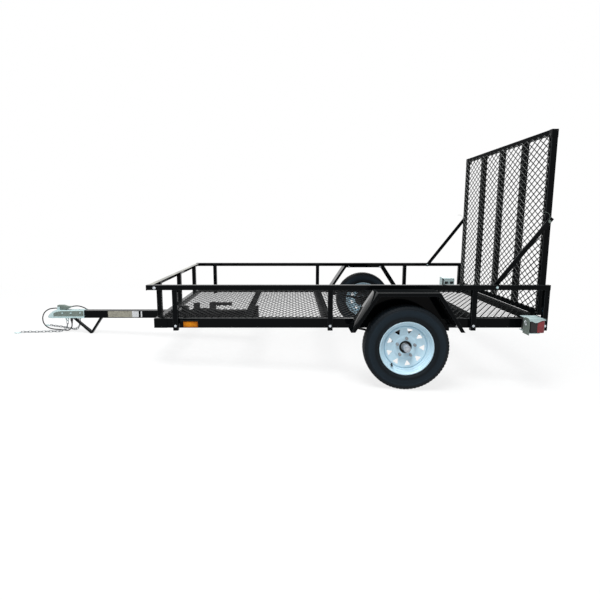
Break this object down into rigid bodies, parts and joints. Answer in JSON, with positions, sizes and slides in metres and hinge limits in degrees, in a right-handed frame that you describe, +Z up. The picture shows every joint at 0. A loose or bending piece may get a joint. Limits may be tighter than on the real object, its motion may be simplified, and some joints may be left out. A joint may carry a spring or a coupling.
{
  "type": "utility trailer",
  "caption": "Open single-axle trailer: mesh deck in an angle-iron frame, bolted guard rails, rear ramp gate held by diagonal struts, bent-strip fenders, ball coupler and parking foot.",
  "frame": {"origin": "ground level, at the middle of the parked trailer's footprint", "axes": "+X towards the ramp gate, +Y towards the trailer's right side, +Z up; the coupler points along -X"},
  "size_m": [3.8292, 2.022, 1.6366],
  "materials": {
    "black_paint": "satin black paint",
    "black_mesh": "satin black paint on expanded metal",
    "tyre": "black rubber",
    "white_wheel": "gloss white paint",
    "black_hub": "black paint",
    "zinc": "bright zinc plate",
    "amber_lens": "clear amber lens",
    "red_lens": "clear red lens",
    "cable": "black jacket",
    "chain": "zinc-plated chain"
  },
  "bodies": {
    "chassis": {"axle": "black_paint", "cable_boot": "cable", "chain_hooks": "chain", "chain_lugs": "zinc", "coupler": "zinc", "deck_cross_members": "black_paint", "deck_mesh": "black_mesh", "fender_stays": "black_paint", "front_frame_member": "black_paint", "front_guard_rail": "black_paint", "gate_hinge_lugs": "black_paint", "gate_strut_bolts": "zinc", "guard_posts": "black_paint", "lamp_brackets": "zinc", "leaf_springs": "black_paint", "left_fender": "black_paint", "left_guard_rail": "black_paint", "left_safety_chain": "chain", "left_side_rail": "black_paint", "marker_hoods": "black_paint", "parking_foot": "black_paint", "rear_frame_member": "black_paint", "right_fender": "black_paint", "right_guard_rail": "black_paint", "right_safety_chain": "chain", "right_side_rail": "black_paint", "side_markers": "amber_lens", "spring_clamps": "black_paint", "spring_hangers": "black_paint", "tail_lamps": "red_lens", "tongue": "black_paint", "tongue_saddles": "black_paint", "wiring_cable": "cable", "wiring_plug": "cable"},
    "left_wheel": {"left_tyre": "tyre", "left_wheel_rim": "white_wheel", "left_wheel_hub": "black_hub"},
    "right_wheel": {"right_tyre": "tyre", "right_wheel_rim": "white_wheel", "right_wheel_hub": "black_hub"},
    "gate": {"gate_uprights": "black_paint", "gate_cross_bars": "black_paint", "gate_mesh": "black_mesh", "gate_hinge_knuckles": "black_paint"},
    "left_strut": {"left_gate_strut": "black_paint"},
    "right_strut": {"right_gate_strut": "black_paint"},
    "coupler_latch": {"coupler_latch_lever": "zinc"}
  },
  "joints": [
    {"name": "left_wheel_spin", "type": "hinge", "parent": "chassis", "child": "left_wheel", "pos_m": [0.852, -0.943, 0.262], "axis": [0, 1, 0], "continuous": true},
    {"name": "right_wheel_spin", "type": "hinge", "parent": "chassis", "child": "right_wheel", "pos_m": [0.852, 0.943, 0.262], "axis": [0, 1, 0], "continuous": true},
    {"name": "gate_fold", "type": "hinge", "parent": "chassis", "child": "gate", "pos_m": [1.79211, 0, 0.486], "axis": [0, 1, 0], "range_deg": [0, 115]},
    {"name": "left_strut_swing", "type": "hinge", "parent": "chassis", "child": "left_strut", "pos_m": [1.42576, -0.783, 0.64611], "axis": [0, 1, 0], "range_deg": [-129, 50]},
    {"name": "right_strut_swing", "type": "hinge", "parent": "chassis", "child": "right_strut", "pos_m": [1.42576, 0.783, 0.64611], "axis": [0, 1, 0], "range_deg": [-129, 50]},
    {"name": "coupler_latch_lift", "type": "hinge", "parent": "chassis", "child": "coupler_latch", "pos_m": [-1.72431, 0, 0.19673], "axis": [0, -1, 0], "range_deg": [0, 70]}
  ]
}
